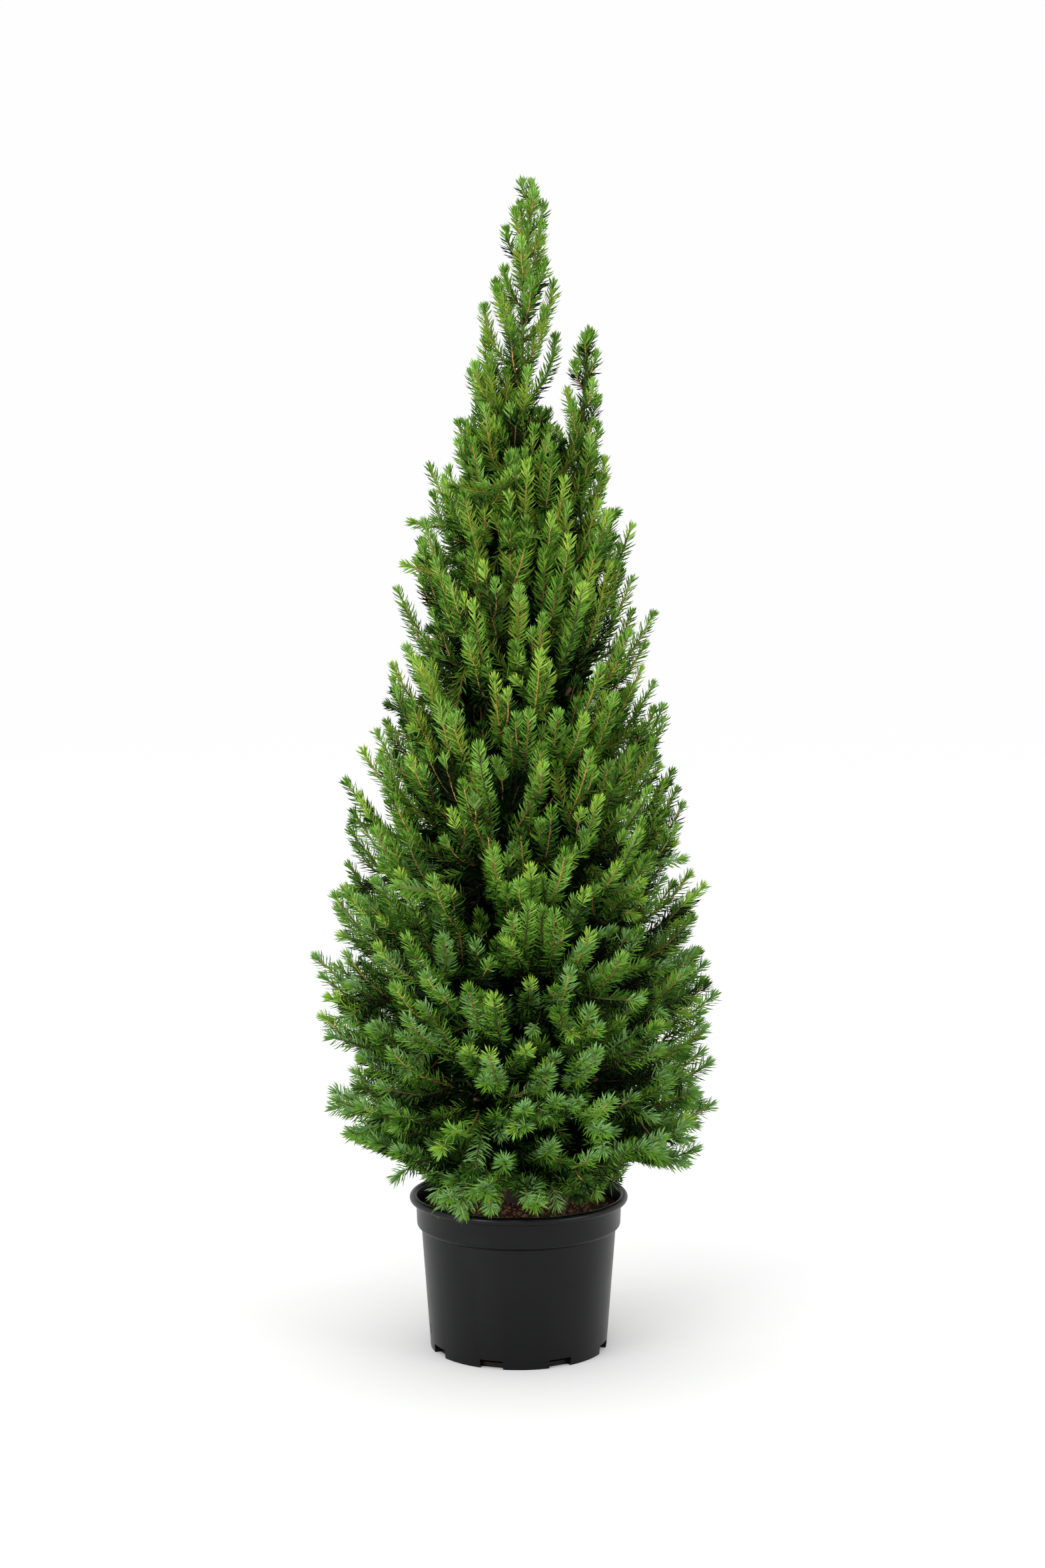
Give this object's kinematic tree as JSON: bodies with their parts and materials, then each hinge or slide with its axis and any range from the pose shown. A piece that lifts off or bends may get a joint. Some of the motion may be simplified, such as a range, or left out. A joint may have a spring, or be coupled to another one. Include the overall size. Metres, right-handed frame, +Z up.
{
  "type": "potted spruce",
  "caption": "Dwarf conical spruce with upright finger-like shoots, growing in a round black plastic nursery pot that stands on its flat underside.",
  "frame": {"origin": "centre of the pot's flat underside", "axes": "+Z up the trunk to the leader's tip, -Y towards the front that the picture shows, +X to its right"},
  "size_m": [0.3531, 0.357, 1.006],
  "materials": {
    "pot_plastic": "satin",
    "potting_mix": "matte",
    "bark": "matte",
    "needles": "matte"
  },
  "bodies": {
    "root": {"pot": "pot_plastic", "potting_mix": "potting_mix", "trunk": "bark", "rival_leader_bough": "bark", "skirt_bough_1": "bark", "skirt_foliage_1": "needles", "skirt_bough_2": "bark", "skirt_foliage_2": "needles", "skirt_bough_3": "bark", "skirt_foliage_3": "needles", "skirt_bough_4": "bark", "skirt_foliage_4": "needles", "skirt_bough_5": "bark", "skirt_foliage_5": "needles", "skirt_bough_6": "bark", "skirt_foliage_6": "needles", "low_bough_1": "bark", "low_foliage_1": "needles", "low_bough_2": "bark", "low_foliage_2": "needles", "low_bough_3": "bark", "low_foliage_3": "needles", "low_bough_4": "bark", "low_foliage_4": "needles", "low_bough_5": "bark", "low_foliage_5": "needles", "low_bough_6": "bark", "low_foliage_6": "needles", "middle_bough_1": "bark", "middle_foliage_1": "needles", "middle_bough_2": "bark", "middle_foliage_2": "needles", "middle_bough_3": "bark", "middle_foliage_3": "needles", "middle_bough_4": "bark", "middle_foliage_4": "needles", "middle_bough_5": "bark", "middle_foliage_5": "needles", "middle_bough_6": "bark", "middle_foliage_6": "needles", "high_bough_1": "bark", "high_foliage_1": "needles", "high_bough_2": "bark", "high_foliage_2": "needles", "high_bough_3": "bark", "high_foliage_3": "needles", "high_bough_4": "bark", "high_foliage_4": "needles", "high_bough_5": "bark", "high_foliage_5": "needles", "shoulder_foliage_1": "needles", "shoulder_foliage_2": "needles", "shoulder_foliage_3": "needles", "shoulder_foliage_4": "needles", "crest_foliage_1": "needles", "crest_foliage_2": "needles", "crest_foliage_3": "needles", "leader_foliage": "needles", "rival_leader_foliage": "needles"}
  },
  "joints": []
}
